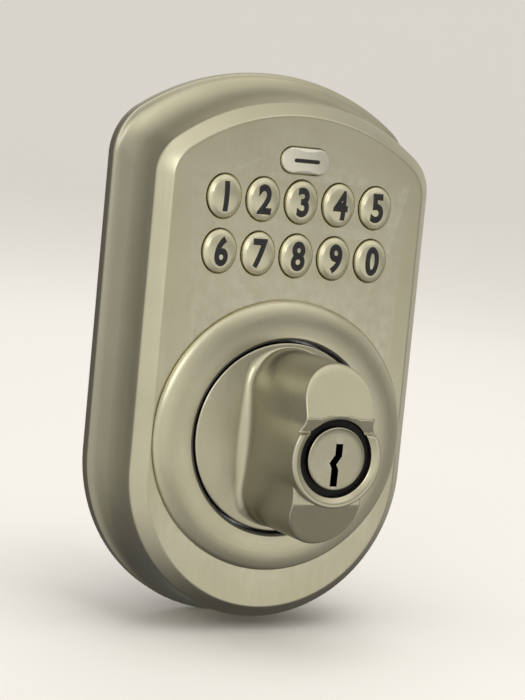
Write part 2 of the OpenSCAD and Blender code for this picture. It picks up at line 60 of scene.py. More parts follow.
# A circle is extruded ring by ring, and each new ring is moved to its place.
# Each corner keeps its number, so it knows its place on the next ring.
def growRings(name, rings, join="caps"):
    clearSelection()
    bpy.ops.mesh.primitive_circle_add(vertices=len(rings[0]), radius=mm)
    piece = bpy.context.object
    piece.name = name
    piece.data.name = name
    numbers = piece.data.attributes.new("corner", "INT", "POINT")
    numbers.data.foreach_set("value", list(range(len(rings[0]))))
    bpy.ops.object.mode_set(mode="EDIT")
    bpy.ops.mesh.select_mode(type="VERT")
    bpy.ops.mesh.select_all(action="SELECT")
    for step, ring in enumerate(rings):
        if step == 0 and join == "caps":
            bpy.ops.mesh.edge_face_add()
            bpy.ops.mesh.extrude_region_move()
        elif step:
            bpy.ops.mesh.extrude_region_move()
        shell = bmesh.from_edit_mesh(piece.data)
        number = shell.verts.layers.int["corner"]
        for corner in shell.verts:
            if corner.select or step == 0:
                corner.co = ring[corner[number]]
        bmesh.update_edit_mesh(piece.data)
    if join == "loop":
        bpy.ops.mesh.select_all(action="DESELECT")
        bpy.ops.mesh.select_non_manifold()
        bpy.ops.mesh.bridge_edge_loops()
    bpy.ops.mesh.select_all(action="SELECT")
    bpy.ops.mesh.remove_doubles(threshold=0.002 * mm)
    bpy.ops.mesh.dissolve_degenerate(threshold=0.001 * mm)
    bpy.ops.mesh.normals_make_consistent(inside=False)
    bpy.ops.object.mode_set(mode="OBJECT")
    piece.data.attributes.remove(piece.data.attributes["corner"])
    return piece


# Rings round the knob's axis or round a centre beside it, from a list of radius and height out.
def turnRings(name, profile, centre=(0, 0), corners=96, join="caps"):
    rings = []
    for radius, out in profile:
        rings.append([
            facePoint(centre[0] + max(radius, 0.0001) * math.sin(2 * math.pi * i / corners),
                      centre[1] + max(radius, 0.0001) * math.cos(2 * math.pi * i / corners), out)
            for i in range(corners)
        ])
    return growRings(name, rings, join)


def roundCorner(x, z, radius, start, end, steps=4):
    turns = [math.radians(start + (end - start) * i / steps) for i in range(steps + 1)]
    return [(x + radius * math.cos(t), z + radius * math.sin(t)) for t in turns]


def cutAway(piece, cutter):
    makeActive(piece)
    cut = piece.modifiers.new("cut", "BOOLEAN")
    cut.operation = "DIFFERENCE"
    cut.solver = "EXACT"
    cut.object = cutter
    bpy.ops.object.modifier_apply(modifier="cut")
    bpy.data.objects.remove(cutter)


def joinPieces(name, pieces):
    clearSelection()
    for piece in pieces:
        piece.select_set(True)
    bpy.context.view_layer.objects.active = pieces[0]
    if len(pieces) > 1:
        bpy.ops.object.join()
    pieces[0].name = name
    return pieces[0]


def moveMesh(piece, x, y, out=0):
    makeActive(piece)
    bpy.ops.object.mode_set(mode="EDIT")
    bpy.ops.mesh.select_all(action="SELECT")
    bpy.ops.transform.translate(value=facePoint(x, y, out))
    bpy.ops.object.mode_set(mode="OBJECT")


def copyPiece(piece, name, x=0, y=0, out=0):
    copy = piece.copy()
    copy.data = piece.data.copy()
    copy.name = name
    bpy.context.scene.collection.objects.link(copy)
    moveMesh(copy, x, y, out)
    return copy


def smoothOver(piece, angle=32):
    makeActive(piece)
    bpy.ops.object.shade_smooth_by_angle(angle=math.radians(angle))


def finishPiece(piece, finish, body, slot, *replaced, angle=32):
    smoothOver(piece, angle)
    piece.data.materials.clear()
    piece.data.materials.append(finish)
    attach(piece, body)
    if replaced:
        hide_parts(*replaced)
    return piece


def put(tree, kind, inputs=None, **settings):
    node = tree.nodes.new(kind)
    for name, value in settings.items():
        setattr(node, name, value)
    for name, value in (inputs or {}).items():
        if isinstance(value, bpy.types.NodeSocket):
            tree.links.new(value, node.inputs[name])
        else:
            node.inputs[name].default_value = value
    return node


def startGroup(name, inputs, outputs):
    group = bpy.data.node_groups.new(name, "ShaderNodeTree")
    for label, kind, value in inputs:
        socket = group.interface.new_socket(name=label, in_out="INPUT", socket_type=kind)
        if value is not None:
            socket.default_value = value
    for label, kind in outputs:
        group.interface.new_socket(name=label, in_out="OUTPUT", socket_type=kind)
    return group, group.nodes.new("NodeGroupInput"), group.nodes.new("NodeGroupOutput")


def noise(tree, place, scale, detail, roughness):
    node = put(tree, "ShaderNodeTexNoise", {"Vector": place, "Scale": scale, "Detail": detail,
                                            "Roughness": roughness})
    return node.outputs["Fac"]


def combine(tree, operation, first, second, **settings):
    return put(tree, "ShaderNodeMath", {0: first, 1: second}, operation=operation, **settings).outputs[0]


def span(tree, value, low, high, toLow=0.0, toHigh=1.0):
    node = put(tree, "ShaderNodeMapRange", {"Value": value, "From Min": low, "From Max": high,
                                            "To Min": toLow, "To Max": toHigh})
    return node.outputs[0]


def blend(tree, share, first, second):
    return put(tree, "ShaderNodeMix", {"Factor": share, "A": first, "B": second}).outputs[0]


def blendColour(tree, share, first, second):
    node = put(tree, "ShaderNodeMix", {"Factor": share, "A": first, "B": (*second, 1)}, data_type="RGBA")
    return node.outputs[2]


# How fine the marks are, in marks to the metre
grainSizes = {
    "lines": (3200, 3200, 110), "wideLines": (620, 620, 38), "lineCloud": 45, "lineBands": 0.3,
    "rings": 3400, "ringSlope": 0.8, "ringWander": 2.2, "ringWidth": (1, 0.2, 1), "ringCloud": 60,
    "grains": 4200, "pits": 1500, "grainCloud": 70, "pitShare": 0.35, "wearPatch": 420,
}


def startGrain(name):
    return startGroup(
        name,
        [("Vector", "NodeSocketVector", None), ("Fine", "NodeSocketFloat", 1.0)],
        [("Height", "NodeSocketFloat"), ("Streak", "NodeSocketFloat"), ("Cloud", "NodeSocketFloat")],
    )


# Height is for bump, Streak for roughness and fine lines, Cloud for slow colour change.
def finishGrain(group, result, height, streak, cloud):
    group.links.new(height, result.inputs["Height"])
    group.links.new(streak, result.inputs["Streak"])
    group.links.new(cloud, result.inputs["Cloud"])
    return group


def sizedPlace(group, source):
    size = put(group, "ShaderNodeVectorMath", {0: source.outputs["Vector"]}, operation="SCALE")
    group.links.new(source.outputs["Fine"], size.inputs["Scale"])
    return size.outputs[0]


# Fine brushed lines along the height
def makeBrushedGrain():
    g = grainSizes
    group, source, result = startGrain("brushedGrain")
    place = sizedPlace(group, source)
    lines = put(group, "ShaderNodeMapping", {"Vector": place, "Scale": g["lines"]})
    wide = put(group, "ShaderNodeMapping", {"Vector": place, "Scale": g["wideLines"]})
    fine = noise(group, lines.outputs[0], 1, 4, 0.6)
    band = noise(group, wide.outputs[0], 1, 2, 0.5)
    cloud = noise(group, source.outputs["Vector"], g["lineCloud"], 3, 0.55)
    return finishGrain(group, result, fine, blend(group, g["lineBands"], fine, band), cloud)


# The marks a lathe leaves, running round the knob's axis
def makeTurnedGrain():
    g = grainSizes
    group, source, result = startGrain("turnedGrain")
    flat = put(group, "ShaderNodeVectorMath",
               {0: source.outputs["Vector"], 1: (1, 0, 1)}, operation="MULTIPLY")
    reach = put(group, "ShaderNodeVectorMath", {0: flat.outputs[0]}, operation="LENGTH")
    turn = put(group, "ShaderNodeVectorMath", {0: flat.outputs[0]}, operation="NORMALIZE")
    depth = put(group, "ShaderNodeSeparateXYZ", {0: source.outputs["Vector"]}).outputs["Y"]
    slope = combine(group, "MULTIPLY", depth, g["ringSlope"])
    run = combine(group, "SUBTRACT", reach.outputs["Value"], slope)
    rings = combine(group, "MULTIPLY", run, g["rings"])
    rings = combine(group, "MULTIPLY", rings, source.outputs["Fine"])
    around = put(group, "ShaderNodeVectorMath",
                 {0: turn.outputs[0], 1: (g["ringWander"],) * 3}, operation="MULTIPLY")
    across = put(group, "ShaderNodeSeparateXYZ", {0: around.outputs[0]})
    place = put(group, "ShaderNodeCombineXYZ",
                {"X": across.outputs["X"], "Y": rings, "Z": across.outputs["Z"]}).outputs[0]
    slow = put(group, "ShaderNodeVectorMath", {0: place, 1: g["ringWidth"]}, operation="MULTIPLY")
    fine = noise(group, place, 1, 4, 0.6)
    band = noise(group, slow.outputs[0], 1, 2, 0.5)
    cloud = noise(group, source.outputs["Vector"], g["ringCloud"], 3, 0.55)
    return finishGrain(group, result, fine, blend(group, g["lineBands"], fine, band), cloud)


# Even grain for castings, mouldings and rubber
def makeSpeckle():
    g = grainSizes
    group, source, result = startGrain("speckle")
    place = sizedPlace(group, source)
    fine = noise(group, place, g["grains"], 3, 0.6)
    pits = put(group, "ShaderNodeTexVoronoi", {"Vector": place, "Scale": g["pits"]}).outputs["Distance"]
    cloud = noise(group, source.outputs["Vector"], g["grainCloud"], 4, 0.6)
    both = blend(group, g["pitShare"], fine, pits)
    return finishGrain(group, result, both, both, cloud)


# Where handling has polished the edges: a mask from how sharply the surface turns
def makeEdgeWear():
    group, source, result = startGroup(
        "edgeWear",
        [("Vector", "NodeSocketVector", None), ("Edge", "NodeSocketFloat", 0.5),
         ("Amount", "NodeSocketFloat", 0.5)],
        [("Mask", "NodeSocketFloat")],
    )
    patch = noise(group, source.outputs["Vector"], grainSizes["wearPatch"], 5, 0.7)
    edge = span(group, source.outputs["Edge"], 0.505, 0.56)
    broken = span(group, patch, 0.3, 0.62)
    mask = combine(group, "MULTIPLY", combine(group, "MULTIPLY", edge, broken), source.outputs["Amount"],
                   use_clamp=True)
    group.links.new(mask, result.inputs["Mask"])
    return group


# Painted shade: a mask that darkens the finish low in the recess, on steep sides and on undersides,
# where shade falls; faces turned up can be spared
def makePaintedShade():
    group, source, result = startGroup(
        "patina",
        [("Vector", "NodeSocketVector", None), ("Normal", "NodeSocketVector", None),
         ("Shallow", "NodeSocketFloat", 0.0), ("Deep", "NodeSocketFloat", 0.001),
         ("Recess", "NodeSocketFloat", 0.0), ("Spared", "NodeSocketFloat", 0.0),
         ("Side", "NodeSocketFloat", 0.0), ("Under", "NodeSocketFloat", 0.0)],
        [("Mask", "NodeSocketFloat")],
    )
    need = source.outputs
    place = put(group, "ShaderNodeSeparateXYZ", {0: need["Vector"]}).outputs
    facing = put(group, "ShaderNodeSeparateXYZ", {0: need["Normal"]}).outputs
    low = span(group, place["Y"], need["Shallow"], need["Deep"])
    upward = span(group, facing["Z"], 0.15, 0.6)
    kept = combine(group, "SUBTRACT", 1.0, combine(group, "MULTIPLY", upward, need["Spared"]))
    front = put(group, "ShaderNodeMath", {0: facing["Y"]}, operation="ABSOLUTE").outputs[0]
    steep = span(group, front, 0.7, 0.25)
    under = span(group, facing["Z"], -0.2, -0.65)
    total = combine(group, "MULTIPLY", combine(group, "MULTIPLY", low, kept), need["Recess"])
    for part, amount in ((steep, "Side"), (under, "Under")):
        total = combine(group, "MAXIMUM", total, combine(group, "MULTIPLY", part, need[amount]))
    group.links.new(total, result.inputs["Mask"])
    return group


grains = {"brushed": makeBrushedGrain(), "turned": makeTurnedGrain(), "speckle": makeSpeckle()}
edgeWear = makeEdgeWear()
patina = makePaintedShade()


def makeFinish(name, look):
    finish = bpy.data.materials.new(name)
    finish.use_nodes = True
    tree = finish.node_tree
    shader = tree.nodes["Principled BSDF"]
    coordinates = put(tree, "ShaderNodeTexCoord")
    place = coordinates.outputs["Object"]
    grain = put(tree, "ShaderNodeGroup", node_tree=grains[look["grain"]])
    tree.links.new(place, grain.inputs["Vector"])
    grain.inputs["Fine"].default_value = look.get("fine", 1.0)
    wear = put(tree, "ShaderNodeGroup", node_tree=edgeWear)
    tree.links.new(place, wear.inputs["Vector"])
    tree.links.new(put(tree, "ShaderNodeNewGeometry").outputs["Pointiness"], wear.inputs["Edge"])
    wear.inputs["Amount"].default_value = look.get("wear", 0.4)
    tones = span(tree, grain.outputs["Cloud"], 0.3, 0.7)
    colour = blendColour(tree, tones, (*look["shade"], 1), look["colour"])
    thin = span(tree, grain.outputs["Streak"], 0.52, 0.72, toHigh=look.get("streakAmount", 0.35))
    colour = blendColour(tree, thin, colour, look["streak"])
    colour = blendColour(tree, wear.outputs["Mask"], colour, look["worn"])
    # Painted shade: the shade colour is mixed in where the mask says
    if "patina" in look:
        shadeNode = put(tree, "ShaderNodeGroup", node_tree=patina)
        tree.links.new(place, shadeNode.inputs["Vector"])
        tree.links.new(coordinates.outputs["Normal"], shadeNode.inputs["Normal"])
        for label, value in look["patina"].items():
            shadeNode.inputs[label].default_value = value
        colour = blendColour(tree, shadeNode.outputs["Mask"], colour, look["dark"])
    tree.links.new(colour, shader.inputs["Base Color"])
    rough = span(tree, grain.outputs["Streak"], 0.25, 0.75,
                 look["roughness"] - look["spread"], look["roughness"] + look["spread"])
    rubbed = blend(tree, wear.outputs["Mask"], rough, look["roughness"] * look.get("rubbed", 0.72))
    tree.links.new(rubbed, shader.inputs["Roughness"])
    bump = put(tree, "ShaderNodeBump", {"Height": grain.outputs["Height"], "Strength": look["bump"],
                                        "Distance": look["depth"] * mm})
    tree.links.new(bump.outputs[0], shader.inputs["Normal"])
    shader.inputs["Metallic"].default_value = look["metal"]
    for socket, value in look.get("more", {}).items():
        shader.inputs[socket].default_value = value
    return finish


def nickel(tone, **changes):
    look = {
        "grain": "brushed", "metal": 1.0, "roughness": 0.34, "spread": 0.07, "bump": 0.3, "depth": 0.03,
        "colour": [tone * c for c in (0.65, 0.612, 0.44)],
        "shade": [tone * c for c in (0.58, 0.54, 0.38)],
        "streak": [tone * c for c in (0.72, 0.685, 0.52)],
        "worn": [tone * c for c in (0.78, 0.75, 0.61)],
        "wear": 0.5,
    }
    look.update(changes)
    return look


def steel(colour, **changes):
    look = {
        "grain": "speckle", "metal": 1.0, "roughness": 0.36, "spread": 0.09, "bump": 0.25, "depth": 0.02,
        "colour": colour,
        "shade": [c * 0.84 for c in colour],
        "streak": [min(1, c * 1.12) for c in colour],
        "worn": [min(1, c * 1.25) for c in colour],
        "wear": 0.5,
    }
    look.update(changes)
    return look


def moulding(colour, **changes):
    look = {
        "grain": "speckle", "metal": 0.0, "roughness": 0.5, "spread": 0.08, "bump": 0.35, "depth": 0.04,
        "colour": colour,
        "shade": [c * 0.8 for c in colour],
        "streak": [min(1, c * 1.3 + 0.01) for c in colour],
        "worn": [min(1, c * 1.6 + 0.03) for c in colour],
        "wear": 0.35,
    }
    look.update(changes)
    return look


finishes = {
    # Painted shade: the rim and the outer cove are painted darker, except faces turned up, and so are
    # faces turned down
    "plateNickel": makeFinish("plateNickel", nickel(
        1.0, dark=[0.27, 0.262, 0.205],
        patina={"Shallow": -9.5 * mm, "Deep": -6 * mm, "Recess": 0.62, "Spared": 1.0, "Under": 0.7})),
    # Painted shade: the knob's steep sides, its flanks, are painted darker
    "knobNickel": makeFinish("knobNickel", nickel(
        0.98, roughness=0.31, dark=[0.3, 0.293, 0.255], patina={"Side": 0.85})),
    # Painted shade: faces of the bezel ring turned down are painted darker
    "ringNickel": makeFinish("ringNickel", nickel(
        1.0, grain="turned", roughness=0.31, bump=0.35, dark=[0.3, 0.285, 0.225],
        patina={"Under": 0.4})),
    "capNickel": makeFinish("capNickel", nickel(1.2, roughness=0.36, fine=1.6, spread=0.05)),
    # Painted light: a lighter copy of the nickel, for the brightness the start button's flat dome does
    # not catch
    "buttonLitNickel": makeFinish("buttonLitNickel", nickel(
        1.32, roughness=0.42, fine=1.6, spread=0.05, colour=[0.93, 0.9, 0.76], shade=[0.88, 0.85, 0.7])),
    # Painted shade: the keyway walls inside the plug face are painted near-black
    "plugNickel": makeFinish("plugNickel", nickel(
        0.74, grain="turned", fine=1.5, roughness=0.24, wear=0.8, dark=[0.006, 0.006, 0.006],
        patina={"Shallow": -52.42 * mm, "Deep": -52.1 * mm, "Recess": 1.0})),
    # Near-black, non-metal finish on the lock cylinder, so the groove round the plug shows black
    "nearBlack": makeFinish("nearBlack", steel([0.009, 0.009, 0.009], metal=0.0, roughness=0.6,
                                               more={"Specular IOR Level": 0.25})),
    "zincSteel": makeFinish("zincSteel", steel([0.6, 0.61, 0.61])),
    "springSteel": makeFinish("springSteel", steel([0.22, 0.22, 0.235], roughness=0.3)),
    # Painted shade: the key pins are painted near-black so the keyway looks dark inside
    "keywayShadeBrass": makeFinish("keywayShadeBrass", steel([0.05, 0.04, 0.022], grain="turned", roughness=0.5)),
    "brass": makeFinish("brass", steel([0.72, 0.53, 0.24], grain="turned", roughness=0.3)),
    "rubber": makeFinish("rubber", moulding([0.018, 0.018, 0.019], roughness=0.72)),
    "silicone": makeFinish("silicone", moulding([0.05, 0.055, 0.06], roughness=0.62)),
    "nylonBlack": makeFinish("nylonBlack", moulding([0.03, 0.03, 0.032], roughness=0.42)),
    "nylonIvory": makeFinish("nylonIvory", moulding([0.72, 0.66, 0.52], roughness=0.45)),
    "boardGreen": makeFinish("boardGreen", moulding(
        [0.02, 0.14, 0.06], roughness=0.3, streakAmount=0.8)),
    "digitPaint": makeFinish("digitPaint", moulding([0.012, 0.012, 0.012], roughness=0.5, bump=0.2)),
}
print("stage: finishes made,", len(finishes))

# What each carried-over piece is finished in
nodeFinishes = {
    "plateNickel": ["escutcheon"], "ringNickel": ["knob_bezel"], "knobNickel": ["turn_knob"],
    "capNickel": ["start_button"] + ["key_%d" % i for i in range(10)], "plugNickel": ["key_plug"],
    "zincSteel": ["back_plate", "back_plate_screws", "mounting_posts", "chassis_plate", "chassis_screws",
                  "switch_domes", "board_screws", "clutch_solenoid", "solenoid_plunger", "clutch_sleeve",
                  "tailpiece"],
    "springSteel": ["knob_clip", "pin_springs", "plug_clip"],
    "brass": ["driver_pins", "pin_cover", "plug_cam", "drive_hub"], "keywayShadeBrass": ["key_pins"],
    "nearBlack": ["lock_cylinder"],
    "rubber": ["gasket", "cable_grommet"], "silicone": ["keypad_mat"],
    "nylonBlack": ["bore_collar", "board_chips", "beeper"],
    "nylonIvory": ["knob_bushing", "board_connector", "shift_fork"], "boardGreen": ["keypad_board"],
}
for finishName, names in nodeFinishes.items():
    for name in names:
        nodes[name].data.materials.clear()
        nodes[name].data.materials.append(finishes[finishName])


plate = {
    "halfWidth": 38, "bottom": -45.5, "top": 81.5, "archRadius": 56, "cornerRadius": 14,
    "inset": (3.7, 6.2, 2.7), "rimDepth": 4.5, "footDepth": 21, "faceDepth": 24, "bevel": 3,
    "outerRound": 1.3, "innerRound": 0.8, "lip": 2.8, "cavity": 3.35, "wallIn": 21.4, "plateIn": 2.5,
    "backFace": 1.0, "bore": 24.0, "bevelAngle": 45,
    "rimEdge": [(0, 3.0), (0, 4.05), (0.05, 4.28), (0.17, 4.44), (0.34, 4.56)],
    "coveSteps": (9, 13, 18, 24, 31, 39, 48, 57, 66, 74, 80),
}


# Straight sides, a half round foot, and a shallow arch with rounded shoulders on top
def shieldOutline(side, top, bottom):
    half = plate["halfWidth"] - side
    arch = plate["archRadius"] - top
    corner = plate["cornerRadius"] - min(side, 5)
    archY = plate["top"] - top - arch
    cornerY = archY + math.sqrt((arch - corner) ** 2 - (half - corner) ** 2)
    turn = math.degrees(math.atan2(cornerY - archY, half - corner))
    runs = [
        (0, plate["bottom"] + bottom + half, half, 180, 360, 96),
        (half - corner, cornerY, corner, 0, turn, 22),
        (0, archY, arch, turn, 180 - turn, 44),
        (corner - half, cornerY, corner, 180 - turn, 180, 22),
    ]
    points = []
    for x, y, radius, start, end, count in runs:
        for i in range(count):
            t = math.radians(start + (end - start) * i / count)
            points.append((x + radius * math.cos(t), y + radius * math.sin(t)))
    return points


def shieldRing(insets, out):
    return [facePoint(x, y, out) for x, y in shieldOutline(*insets)]


def evenInset(amount):
    return (amount, amount, amount)


def insetBy(amount):
    return tuple(value + amount for value in plate["inset"])


def ovalRing(width, height, out, corners=48):
    turns = [2 * math.pi * i / corners for i in range(corners)]
    return [facePoint(width / 2 * math.cos(t), height / 2 * math.sin(t), out) for t in turns]


def stadiumRing(width, height, out, corners=48):
    ring = []
    for i in range(corners):
        t = 2 * math.pi * (i + 0.5) / corners - math.pi / 2
        shift = (width - height) / 2 * (1 if math.cos(t) > 0 else -1)
        ring.append(facePoint(shift + height / 2 * math.cos(t), height / 2 * math.sin(t), out))
    return ring


keypad = {
    "keyWidth": 8, "keyHeight": 9.6, "pitchX": 9.5, "upperRow": 53.1, "lowerRow": 41.0, "slack": 0.15,
    "flangeRim": 0.55, "flangeBack": 20.1, "flangeFront": 21.3, "capTop": 25.5, "domeRadius": 16,
    "edgeRound": 0.55, "chamfer": 0.22,
    "buttonWidth": 11.8, "buttonHeight": 5.7, "buttonY": 62.3, "buttonDome": 24,
    "digitHeight": 6.7, "digitWidth": 0.78, "digitBold": 0.038, "paint": 0.04,
    "markWidth": 6.4, "markHeight": 0.9, "shoulder": 1.15, "digitCuts": 8, "digitCutStep": 0.075,
    "crownShares": (0.94, 0.85, 0.72, 0.56, 0.38, 0.18, 0.02),
    "markShares": (1.0, 0.9, 0.76, 0.6, 0.42, 0.22, 0.02),
}
keyPlaces = {}
for index in range(10):
    column = index % 5 - 2
    row = keypad["upperRow"] if index < 5 else keypad["lowerRow"]
    keyPlaces[str((index + 1) % 10)] = (column * keypad["pitchX"], row)


# Rings from inside the shell, round the rim, up the cove and over the bevel to the face
def makeEscutcheon():
    p = plate
    cavity = insetBy(p["cavity"])
    rings = [
        shieldRing(cavity, p["wallIn"]), shieldRing(cavity, p["plateIn"]),
        shieldRing(evenInset(p["lip"]), p["plateIn"]), shieldRing(evenInset(p["lip"]), p["backFace"]),
        shieldRing(evenInset(0.25), p["backFace"]), shieldRing(evenInset(0), p["backFace"] + 0.25),
    ]
    rings += [shieldRing(evenInset(inset), out) for inset, out in p["rimEdge"]]
    for degrees in p["coveSteps"]:
        s = math.sin(math.radians(degrees))
        out = p["footDepth"] - (p["footDepth"] - p["rimDepth"]) * math.cos(math.radians(degrees))
        rings.append(shieldRing([value * s for value in p["inset"]], out))
    corner = math.tan(math.radians(p["bevelAngle"] / 2))  # a rounding's reach, to its radius
    r = p["outerRound"]
    reach = r * corner
    for degrees in (0, 11, 22, 34, p["bevelAngle"]):
        t = math.radians(degrees)
        rings.append(shieldRing(insetBy(r * (1 - math.cos(t))),
                                p["footDepth"] - reach + r * math.sin(t)))
    r = p["innerRound"]
    reach = r * corner
    for degrees in (p["bevelAngle"], 33, 22, 11, 0):
        t = math.radians(degrees)
        rings.append(shieldRing(insetBy(p["bevel"] + reach - r * math.sin(t)),
                                p["faceDepth"] - r + r * math.cos(t)))
    rings.append(shieldRing(insetBy(p["bevel"] + 0.7), p["faceDepth"]))
    piece = growRings("escutcheonShell", rings)
    cutters = [turnRings("boreCut", [(p["bore"], 19), (p["bore"], 26)], corners=128)]
    k = keypad
    steps = [(0, 19), (0, p["faceDepth"] - k["chamfer"]), (2 * k["chamfer"] + 2, p["faceDepth"] + 1)]
    for name, (x, y) in keyPlaces.items():
        width = k["keyWidth"] + 2 * k["slack"]
        height = k["keyHeight"] + 2 * k["slack"]
        cutter = growRings("keyCut" + name, [
            ovalRing(width + grow, height + grow, out) for grow, out in steps])
        moveMesh(cutter, x, y)
        cutters.append(cutter)
    width = k["buttonWidth"] + 2 * k["slack"]
    height = k["buttonHeight"] + 2 * k["slack"]
    cutter = growRings("buttonCut", [
        stadiumRing(width + grow, height + grow, out) for grow, out in steps])
    moveMesh(cutter, 0, k["buttonY"])
    cutters.append(cutter)
    cutAway(piece, joinPieces("openings", cutters))
    return finishPiece(piece, finishes["plateNickel"], "root", "satin_nickel", "escutcheon", angle=30)


makeEscutcheon()
print("stage: escutcheon made")


# Long facets are cut across so that a stadium follows its dome.
def cutAcross(piece, reach, step):
    makeActive(piece)
    bpy.ops.object.mode_set(mode="EDIT")
    count = int(reach / step)
    for i in range(-count, count + 1):
        bpy.ops.mesh.select_all(action="SELECT")
        bpy.ops.mesh.bisect(plane_co=facePoint(i * step, 0, 0), plane_no=(1, 0, 0))
    bpy.ops.object.mode_set(mode="OBJECT")


def capRings(ring, width, height, dome):
    k = keypad
    reach = min(width, height) / 2 * k["shoulder"]
    wallTop = k["capTop"] - dome + math.sqrt(dome ** 2 - reach ** 2) - k["edgeRound"]
    rim = 2 * k["flangeRim"]
    rings = [
        ring(width + rim, height + rim, k["flangeBack"]),
        ring(width + rim, height + rim, k["flangeFront"] - 0.15),
        ring(width + rim - 0.3, height + rim - 0.3, k["flangeFront"]),
        ring(width, height, k["flangeFront"]),
        ring(width, height, wallTop),
    ]
    for degrees in (22, 45, 67, 84):
        t = math.radians(degrees)
        pull = 2 * k["edgeRound"] * (1 - math.cos(t))
        rings.append(ring(width - pull, height - pull, wallTop + k["edgeRound"] * math.sin(t)))
    return rings


# A cap: its walls are grown as rings and its crown is a set of shrinking outlines laid on the dome.
def makeCap(name, ring, width, height, dome):
    k = keypad
    rings = capRings(ring, width, height, dome)
    edge = 2 * k["edgeRound"]
    for share in k["crownShares"]:
        tall = (height - edge) * share
        rings.append(ring((width - edge) * share, tall, k["capTop"] + 1))
    piece = growRings(name, rings)
    if ring is stadiumRing:
        cutAcross(piece, (width - height) / 2, 0.5)
    for corner in piece.data.vertices:
        out = -corner.co.y / mm
        if out > k["flangeFront"] + 0.5:
            reach = math.hypot(corner.co.x / mm, corner.co.z / mm)
            level = k["capTop"] - dome + math.sqrt(dome ** 2 - reach ** 2)
            corner.co.y = -min(out, level) * mm
    return piece


# A digit: text made a mesh, cut into small facets, then laid on the dome of its key.
def makeDigit(digit):
    k = keypad
    clearSelection()
    bpy.ops.object.text_add()
    piece = bpy.context.object
    piece.data.body = digit
    piece.data.align_x = "CENTER"
    piece.data.align_y = "CENTER"
    piece.data.offset = k["digitBold"]
    piece.data.resolution_u = 6
    bpy.ops.object.convert(target="MESH")
    bpy.ops.object.mode_set(mode="EDIT")
    bpy.ops.mesh.select_all(action="SELECT")
    bpy.ops.mesh.remove_doubles(threshold=0.0001)
    for i in range(-k["digitCuts"], k["digitCuts"] + 1):
        for across in ((1, 0, 0), (0, 1, 0)):
            bpy.ops.mesh.select_all(action="SELECT")
            place = Vector(across) * i * k["digitCutStep"]
            bpy.ops.mesh.bisect(plane_co=place, plane_no=across)
    bpy.ops.mesh.select_all(action="SELECT")
    bpy.ops.mesh.extrude_region_move(TRANSFORM_OT_translate={"value": (0, 0, 0.1)})
    bpy.ops.mesh.select_all(action="SELECT")
    bpy.ops.mesh.normals_make_consistent(inside=False)
    bpy.ops.object.mode_set(mode="OBJECT")
    low = Vector([min(v.co[a] for v in piece.data.vertices) for a in range(3)])
    high = Vector([max(v.co[a] for v in piece.data.vertices) for a in range(3)])
    size = k["digitHeight"] / (high.y - low.y)
    dome = k["domeRadius"]
    for corner in piece.data.vertices:
        x = (corner.co.x - (low.x + high.x) / 2) * size * k["digitWidth"]
        y = (corner.co.y - (low.y + high.y) / 2) * size
        level = k["capTop"] - dome + math.sqrt(dome ** 2 - x * x - y * y)
        front = corner.co.z > (low.z + high.z) / 2
        corner.co = facePoint(x, y, level + (k["paint"] if front else -k["paint"]))
    piece.name = "digit_" + digit
    return piece


def makeKeypad():
    k = keypad
    model = makeCap("keyCap", ovalRing, k["keyWidth"], k["keyHeight"], k["domeRadius"])
    for name, (x, y) in keyPlaces.items():
        cap = copyPiece(model, "keyCap_" + name, x, y)
        finishPiece(cap, finishes["capNickel"], "key_" + name, "key_metal", "key_" + name, angle=40)
        digit = makeDigit(name)
        moveMesh(digit, x, y)
        finishPiece(digit, finishes["digitPaint"], "key_" + name, "black_plastic", angle=40)
    bpy.data.objects.remove(model)
    cap = makeCap("startCap", stadiumRing, k["buttonWidth"], k["buttonHeight"], k["buttonDome"])
    moveMesh(cap, 0, k["buttonY"])
    finishPiece(cap, finishes["buttonLitNickel"], "start_button", "key_metal", "start_button", angle=40)
    steps = [(1.0, -0.1)] + [(share, k["paint"]) for share in k["markShares"]]
    mark = growRings("startMark", [
        stadiumRing(k["markWidth"] * share, k["markHeight"] * share, k["capTop"] + out)
        for share, out in steps])
    cutAcross(mark, k["markWidth"] / 2 - 0.3, 0.4)
    for corner in mark.data.vertices:  # laid on the button's dome
        reach = math.hypot(corner.co.x / mm, corner.co.z / mm)
        sag = k["buttonDome"] - math.sqrt(k["buttonDome"] ** 2 - reach ** 2)
        corner.co.y += sag * mm
    moveMesh(mark, 0, k["buttonY"])
    finishPiece(mark, finishes["digitPaint"], "start_button", "black_plastic", angle=40)


makeKeypad()
print("stage: keypad made")


bezel = {
    "inner": 22.5, "sleeve": 23.9, "outer": 31, "face": 24, "top": 26.8, "back": 21.4, "groove": 0.45,
    "shadeRingIn": 22.15, "shadeRingTop": 26.55, "edge": 0.35, "shoulder": 0.55,
}


